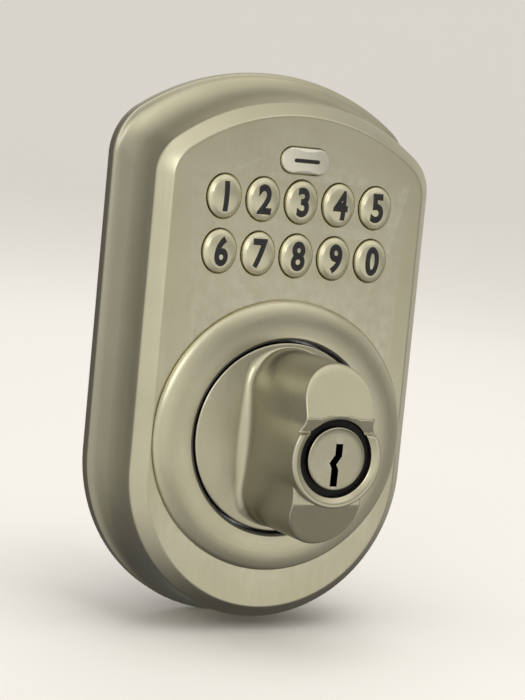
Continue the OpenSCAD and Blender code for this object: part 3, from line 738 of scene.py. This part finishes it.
def makeBezel():
    b = bezel
    crown = []
    for i in range(13):
        t = math.radians(90 * i / 12)
        crown.append((b["inner"] + b["edge"] + (b["outer"] - b["inner"] - b["edge"]) * math.sin(t),
                      b["face"] + b["shoulder"] + (b["top"] - b["face"] - b["shoulder"]) * math.cos(t)))
    edge = roundCorner(b["inner"] + b["edge"], b["top"] - b["edge"], b["edge"], 180, 95, 4)
    profile = [(b["sleeve"], b["face"]), (b["sleeve"], b["back"]), (b["inner"], b["back"])]
    profile += edge + crown
    profile += [(b["outer"], b["face"] + 0.42), (b["outer"] - 0.1, b["face"] + 0.3),
                (b["outer"] - b["groove"], b["face"] + 0.26), (b["outer"] - b["groove"], b["face"])]
    ring = turnRings("bezelRing", profile, corners=192, join="loop")
    finishPiece(ring, finishes["ringNickel"], "root", "satin_nickel", "knob_bezel", angle=38)
    # Painted shade: a black ring set in the gap between the bezel and the knob, so that gap shows black
    shadeRingProfile = [(b["inner"] - 0.02, b["back"] + 0.2), (b["shadeRingIn"], b["back"] + 0.2),
             (b["shadeRingIn"], b["shadeRingTop"] - 0.1), (b["shadeRingIn"] + 0.1, b["shadeRingTop"]),
             (b["inner"] - 0.02, b["shadeRingTop"])]
    shadeRing = turnRings("gapShadeRing", shadeRingProfile, corners=128, join="loop")
    finishPiece(shadeRing, finishes["nylonBlack"], "root", "black_plastic")


makeBezel()
print("stage: bezel made")


knob = {
    "discRadius": 21.6, "back": 21.75, "rim": 26.4, "domeRise": 2.2, "end": 53,
    "gripHalf": 8.3, "gripReach": 11.8, "footHalf": 9.5, "footReach": 10.9, "bossRadius": 10.8,
    "hole": 8.5, "roundness": 26,
    "dish": 0.7, "dishWidth": 1.2, "crease": 8.6, "upperSlope": 0.38, "dipSlope": 0.45, "dipFrom": 5.6,
    "lowerTop": 50.2, "lowerSlope": 0.45, "lowerFrom": 10.5, "edgeRound": 0.55, "fillet": 2.8,
    "shaft": 15, "shaftIn": 12.6, "shaftEnd": 7.0, "shellBack": 20,
}


def slotReach(turn, half, reach):  # a straight sided outline with half round ends
    across = abs(math.sin(turn))
    along = abs(math.cos(turn))
    side = half / max(across, 0.0001)
    if side * along > reach:
        side = reach * along + math.sqrt(max(half ** 2 - (reach * across) ** 2, 0))
    return side


def easeIn(value):
    value = min(1, max(0, value))
    return value * value * (3 - 2 * value)


def makeKnob():
    g = knob
    corners = 256
    turns = [2 * math.pi * i / corners for i in range(corners)]
    boss = g["bossRadius"]
    power = g["roundness"]
    outline = [(slotReach(t, g["gripHalf"], g["gripReach"]) ** power + boss ** power) ** (1 / power)
               for t in turns]

    def edgeDrop(radius, reach):  # how far a rounded edge has fallen by this radius
        into = min(max(radius - reach + g["edgeRound"], 0), g["edgeRound"])
        return g["edgeRound"] - math.sqrt(g["edgeRound"] ** 2 - into ** 2)

    def upperLevel(y):  # a crease across the knob, a slope above it and a dip below
        if y > g["crease"]:
            return g["end"] - g["upperSlope"] * (y - g["crease"])
        if y > g["dipFrom"]:
            return g["end"] - g["dipSlope"] * (g["crease"] - y)
        deep = g["dipSlope"] * (g["crease"] - g["dipFrom"])
        return g["end"] - deep * (1 - easeIn((g["dipFrom"] - y) / 0.7))

    def lowerLevel(y):
        level = g["lowerTop"] + (g["end"] - g["lowerTop"]) * easeIn((y + 7) / 7)
        return level - g["lowerSlope"] * max(0, -g["lowerFrom"] - y)

    def topLevel(radius, turn, reach):
        y = radius * math.cos(turn)
        dished = g["end"] - g["dish"] * max(0, 1 - (radius - g["hole"]) / g["dishWidth"])
        if y > 0:
            return min(dished, upperLevel(y)) - edgeDrop(radius, reach)
        if radius <= boss:
            return dished - edgeDrop(radius, boss)
        return lowerLevel(y) - edgeDrop(radius, reach)

    def ringAt(place):
        ring = []
        for turn, reach in zip(turns, outline):
            radius, out = place(turn, reach)
            ring.append(facePoint(radius * math.sin(turn), radius * math.cos(turn), out))
        return ring

    def lathe(radius, out):
        return ringAt(lambda turn, reach: (radius, out))

    def domeOut(radius):
        return g["rim"] + g["domeRise"] * math.sin(math.pi / 2 * (1 - min(1, radius / g["discRadius"])))

    rings = [lathe(g["shaftIn"], g["shaftEnd"]), lathe(g["shaftIn"], g["shellBack"]),
             lathe(g["hole"], g["shellBack"]), lathe(g["hole"], 46)]
    rings.append(ringAt(lambda turn, reach: (g["hole"], topLevel(g["hole"], turn, reach) - 0.1)))
    for radius in (8.58, 8.8, 9.05, 9.3, 9.55, 9.8, 10.05, 10.25, 10.4, 10.52, 10.63, 10.72, 10.78,
                   boss):
        rings.append(ringAt(lambda turn, reach: (radius, topLevel(radius, turn, reach))))
    for share in (0.003, 0.025, 0.055, 0.09, 0.13, 0.18, 0.24, 0.32, 0.41, 0.51, 0.62, 0.74, 0.86, 1.0):
        def place(turn, reach):
            radius = boss + max(reach - g["edgeRound"] - boss, 0.002) * share
            return radius, topLevel(max(radius, boss + 0.0005), turn, reach) - 0.05 * share
        rings.append(ringAt(place))

    def edgeFoot(turn, reach):  # where the rounded edge meets the flank
        y = reach * math.cos(turn)
        level = upperLevel(y) if y > 0 else lowerLevel(y)
        return reach, level - g["edgeRound"]

    for degrees in (18, 36, 54, 72):
        def place(turn, reach):
            start = boss + max(reach - g["edgeRound"] - boss, 0.002)
            radius = start + (reach - start) * math.sin(math.radians(degrees))
            return radius, topLevel(max(radius, boss + 0.0005), turn, reach) - 0.06
        rings.append(ringAt(place))

    def flankFoot(turn):
        base = slotReach(turn, g["footHalf"], g["footReach"])
        fillet = max(min(g["fillet"], (g["discRadius"] - 0.8 - base) * 0.8), 0.12)
        return base, fillet

    for share in (0.0, 0.07, 0.25, 0.5, 0.75, 0.93, 1.0):
        def place(turn, reach):
            radius, top = edgeFoot(turn, reach)
            base, fillet = flankFoot(turn)
            foot = domeOut(base + fillet) + fillet
            return radius + (base - radius) * share, top - 0.08 + (foot - top) * share
        rings.append(ringAt(place))
    for degrees in (12, 25, 38, 52, 66, 80, 90):
        def place(turn, reach):
            base, fillet = flankFoot(turn)
            t = math.radians(degrees)
            centre = base + fillet
            return centre - fillet * math.cos(t), domeOut(centre) + fillet * (1 - math.sin(t))
        rings.append(ringAt(place))
    rimStart = g["discRadius"] - 0.5
    for share in (0.12, 0.28, 0.46, 0.64, 0.82, 1.0):
        def place(turn, reach):
            base, fillet = flankFoot(turn)
            radius = base + fillet + (rimStart - base - fillet) * share
            return radius, domeOut(radius)
        rings.append(ringAt(place))
    for radius, out in roundCorner(rimStart, g["rim"] - 0.42, 0.5, 70, 0, 5):
        rings.append(lathe(radius, out))
    rings += [lathe(g["discRadius"], g["back"] + 0.3), lathe(g["discRadius"] - 0.3, g["back"]),
              lathe(g["shaft"], g["back"]), lathe(g["shaft"], g["shaftEnd"])]
    piece = growRings("knobBody", rings, join="loop")
    finishPiece(piece, finishes["knobNickel"], "knob", "satin_nickel", "turn_knob", angle=38)


makeKnob()
print("stage: knob made")


plug = {
    "head": 6.9, "headBack": 51.05, "headFront": 52.6, "body": 6.4, "bodyBack": 17.8,
    "stub": 3, "stubBack": 15.4, "edge": 0.4, "slotBack": 22,
    "slot": [(-1.15, -6.0), (0.55, -6.0), (0.55, -2.3), (-0.05, -1.2), (1.15, 0.6), (1.15, 3.3),
             (-0.55, 3.3), (-0.55, 0.9), (-1.75, -0.9), (-1.15, -2)],
}


def makePlug():
    p = plug
    profile = [(p["stub"], p["stubBack"]), (p["stub"], p["bodyBack"]), (p["body"], p["bodyBack"]),
               (p["body"], p["headBack"]), (p["head"] - 0.1, p["headBack"]),
               (p["head"], p["headBack"] + 0.1)]
    profile += roundCorner(p["head"] - p["edge"], p["headFront"] - p["edge"] - 0.06, p["edge"], 0, 80, 5)
    profile += [(5.2, p["headFront"] - 0.03), (3.2, p["headFront"]), (1.2, p["headFront"])]
    piece = turnRings("plugFace", profile, corners=128)
    slot = growRings("slotCut", [
        [facePoint(x, y, out) for x, y in p["slot"]] for out in (p["slotBack"], p["headFront"] + 1.4)])
    cutAway(piece, slot)
    finishPiece(piece, finishes["plugNickel"], "plug", "cylinder_nickel", "key_plug", angle=32)


makePlug()
print("stage: plug made")


rear = {
    "gasket": [(0.62, 0.98), (0.42, 0.8), (0.42, 0.25), (0.65, 0.03), (1.0, 0.0), (1.3, 0.12),
               (1.6, 0.3), (1.9, 0.12), (2.2, 0.0), (2.55, 0.03), (2.78, 0.25), (2.78, 0.8),
               (2.58, 0.98)],
    "screws": [(-28.05, 54.1), (28.05, 54.1), (-28.05, 3), (28.05, 3), (0, -34.95)],
    "posts": 17.5, "grommet": (-13.5, 13.5), "ribs": (33, 43, 53),
    "collar": [(23.5, 1.0), (23.5, -7.5), (23.9, -8), (26.1, -8), (26.6, -7.3), (26.6, -0.3), (26.35, 0),
               (25.6, 0), (25.6, 1.0)],
    "grommetRing": [(1.6, 2.9), (1.6, 0.6), (1.8, 0.42), (3.2, 0.42), (3.5, 0.7), (3.4, 1.0), (2.5, 1.0),
                    (2.5, 2.5), (3.4, 2.5), (3.5, 2.8), (3.2, 3.1), (1.8, 3.1)],
    "tailLength": 58, "tailEnd": 10.7, "tailWidth": 8, "tailThick": 2, "scoreFrom": -50, "scores": 8,
}


def makeRear():
    r = rear
    seal = growRings("rimGasket", [shieldRing(evenInset(inset), out) for inset, out in r["gasket"]],
                     join="loop")
    finishPiece(seal, finishes["rubber"], "root", "black_rubber", "gasket", angle=50)

    sheet = growRings("backSheet", [shieldRing(evenInset(inset), out) for inset, out in (
        (3.0, 2.5), (2.9, 2.4), (2.9, 1.1), (3.0, 1.0), (3.4, 1.0))])
    holes = [((0, 0), 10.05)] + [((x, y), 1.55) for x, y in r["screws"]]
    holes += [((side * r["posts"], 0), 3.1) for side in (-1, 1)] + [(r["grommet"], 2.6)]
    cutters = [turnRings("holeCut", [(radius + 0.5, 0.6), (radius, 1.15), (radius, 3)], centre, 64)
               for centre, radius in holes]
    for y in r["ribs"]:
        rib = growRings("ribCut", [stadiumRing(38 + grow, 5 + grow, out)
                                   for grow, out in ((2.4, 0.5), (1.0, 1.0), (0.2, 1.32), (-0.4, 1.4))])
        moveMesh(rib, 0, y)
        cutters.append(rib)
    cutAway(sheet, joinPieces("holes", cutters))
    finishPiece(sheet, finishes["zincSteel"], "root", "plated_steel", "back_plate", angle=30)

    screw = turnRings("screw", [(0.4, 9.0), (1.4, 8.5), (1.4, 1.0), (2.6, 1.0), (2.6, 0.62),
                                (2.46, 0.38), (2.1, 0.22), (1.2, 0.15)], corners=40)
    cross = [(-1, -1), (-1, -5), (1, -5), (1, -1), (5, -1), (5, 1), (1, 1), (1, 5), (-1, 5), (-1, 1),
             (-5, 1), (-5, -1)]
    recess = growRings("recess", [[facePoint(x * size, y * size, out) for x, y in cross]
                                  for size, out in ((0.34, 0.0), (0.3, 0.2), (0.16, 0.9))])
    cutAway(screw, recess)
    screws = [copyPiece(screw, "plateScrew", x, y) for x, y in r["screws"]]
    bpy.data.objects.remove(screw)
    finishPiece(joinPieces("plateScrews", screws), finishes["zincSteel"], "root", "plated_steel",
                "back_plate_screws", angle=35)

    thread = []
    for i in range(24):
        thread += [(2.1, -2.4 - 0.7 * i), (1.86, -2.75 - 0.7 * i)]
    post = [(1.9, -2.0)] + thread
    post += [(2.1, -19.3), (2.7, -20), (3.6, -20), (4, -19.5), (4, 0.8), (3.8, 1.0), (3, 1.0), (3, 2.5),
             (3.8, 2.5), (3.8, 3.0), (3.4, 3.3), (0.6, 3.3)]
    posts = [turnRings("post", post, (side * r["posts"], 0), 48) for side in (-1, 1)]
    finishPiece(joinPieces("throughPosts", posts), finishes["zincSteel"], "root", "plated_steel",
                "mounting_posts", angle=35)

    collar = turnRings("collarRing", r["collar"], corners=160, join="loop")
    finishPiece(collar, finishes["nylonBlack"], "root", "black_plastic", "bore_collar", angle=35)
    grommet = turnRings("grommetRing", r["grommetRing"], r["grommet"], 48, join="loop")
    finishPiece(grommet, finishes["rubber"], "root", "black_rubber", "cable_grommet", angle=50)

    def bladeRing(thick, width, out):
        edge = 0.3
        ring = []
        for sx, sy, start in ((1, 1, 0), (-1, 1, 90), (-1, -1, 180), (1, -1, 270)):
            for step in range(4):
                t = math.radians(start + 30 * step)
                ring.append(facePoint(sx * (thick / 2 - edge) + edge * math.cos(t),
                                      sy * (width / 2 - edge) + edge * math.sin(t), out))
        return ring

    thick = r["tailThick"]
    width = r["tailWidth"]
    stations = [(thick - 0.5, width - 2.6, -r["tailLength"]),
                (thick, width - 2.0, 0.35 - r["tailLength"]), (thick, width, 1.4 - r["tailLength"])]
    for i in range(r["scores"]):
        out = r["scoreFrom"] + 5 * i
        stations += [(thick, width, out - 0.4), (thick - 0.55, width - 0.4, out),
                     (thick, width, out + 0.4)]
    stations += [(thick, width, r["tailEnd"] - 0.2), (thick - 0.3, width - 0.3, r["tailEnd"])]
    blade = growRings("tailBlade", [bladeRing(*station) for station in stations])
    finishPiece(blade, finishes["zincSteel"], "drive", "plated_steel", "tailpiece", angle=25)


makeRear()
print("stage: door side made")


shot = {
    "azimuth": -26.5, "elevation": 6, "roll": 5.5, "distance": 0.45, "lens": 100, "target": (0, 18, 12),
}


def makeCamera():
    azimuth = math.radians(shot["azimuth"])
    elevation = math.radians(shot["elevation"])
    back = Vector((math.sin(azimuth) * math.cos(elevation), -math.cos(azimuth) * math.cos(elevation),
                   math.sin(elevation)))
    camera = bpy.data.objects.new("camera", bpy.data.cameras.new("camera"))
    bpy.context.scene.collection.objects.link(camera)
    camera.data.lens = shot["lens"]
    camera.data.sensor_width = 36
    camera.data.clip_start = 0.01
    camera.location = facePoint(*shot["target"]) + back * shot["distance"]
    camera.rotation_mode = "QUATERNION"
    camera.rotation_quaternion = (
        (-back).to_track_quat("-Z", "Y") @ Quaternion((0, 0, 1), math.radians(shot["roll"])))
    bpy.context.scene.camera = camera


studio = {
    "floor": (0.82, 0.79, 0.74), "floorRadius": 0.9, "base": 0.14,
    # left of the front, above the horizon, half width in degrees, strength
    "glows": [(65, 5, 95, 0.68), (0, 85, 58, 0.64), (-27, -15, 25, 0.76), (-31, 38, 30, 0.66),
              (-66, 20, 28, 0.42), (6, -5, 22, 0.36), (-20, -52, 22, 0.12),
              (-72, -30, 42, 0.22), (-115, 15, 45, 0.5), (-158, 8, 36, 0.6)],
    # place, size, power, seen in the metal
    "lamps": [((-0.7, -0.75, 0.45), 0.5, 1.3, True), ((0.1, -0.2, 0.95), 0.8, 4.6, False),
              ((0.3, 0.8, 0.6), 0.6, 1.5, False)],
}


def makeStudio():
    s = studio
    paper = bpy.data.materials.new("floorPaper")
    paper.use_nodes = True
    shader = paper.node_tree.nodes["Principled BSDF"]
    shader.inputs["Base Color"].default_value = (*s["floor"], 1)
    shader.inputs["Roughness"].default_value = 0.9
    level = plate["bottom"] - 0.05

    def disc(name, steps):
        turns = [2 * math.pi * i / 96 for i in range(96)]
        rings = [[Vector((r * math.cos(t), r * math.sin(t), z + level * mm)) for t in turns]
                 for r, z in steps]
        piece = growRings(name, rings, join="none")
        smoothOver(piece, 60)
        piece.data.materials.append(paper)
        piece.visible_glossy = False
        return piece

    disc("studioFloor", [(0.0001, 0), (s["floorRadius"], 0)])
    curve = [(s["floorRadius"], 0)] + [
        (s["floorRadius"] + 1.2 * math.sin(math.radians(a)), 1.2 * (1 - math.cos(math.radians(a))))
        for a in range(6, 91, 6)]
    sweep = disc("studioSweep", curve + [(s["floorRadius"] + 1.2, 3)])
    sweep.visible_shadow = False
    sweep.visible_diffuse = False
    for place, size, power, inMetal in s["lamps"]:
        lamp = bpy.data.objects.new("lamp", bpy.data.lights.new("lamp", "AREA"))
        bpy.context.scene.collection.objects.link(lamp)
        lamp.data.size = size
        lamp.data.energy = power
        lamp.location = place
        lamp.rotation_mode = "QUATERNION"
        lamp.rotation_quaternion = (Vector((0, 0, 0.02)) - lamp.location).to_track_quat("-Z", "Y")
        lamp.visible_camera = False
        lamp.visible_glossy = inMetal
    world = bpy.data.worlds.new("studioLight")
    bpy.context.scene.world = world
    world.use_nodes = True
    tree = world.node_tree
    backdrop = tree.nodes["Background"]
    look = put(tree, "ShaderNodeTexCoord").outputs["Generated"]
    total = s["base"]
    for left, above, width, strength in s["glows"]:
        a = math.radians(left)
        e = math.radians(above)
        toward = (-math.sin(a) * math.cos(e), -math.cos(a) * math.cos(e), math.sin(e))
        facing = put(tree, "ShaderNodeVectorMath", {0: look, 1: toward}, operation="DOT_PRODUCT")
        edge = math.cos(math.radians(width))
        glow = put(tree, "ShaderNodeMapRange", {"Value": facing.outputs["Value"], "From Min": edge,
                                                "To Max": strength}, interpolation_type="SMOOTHSTEP")
        total = combine(tree, "ADD", total, glow.outputs[0])
    tree.links.new(total, backdrop.inputs["Strength"])
    backdrop.inputs["Color"].default_value = (1.0, 0.985, 0.955, 1)
    bpy.context.scene.view_settings.view_transform = "Standard"


makeCamera()
makeStudio()
print("stage: camera and light ready")
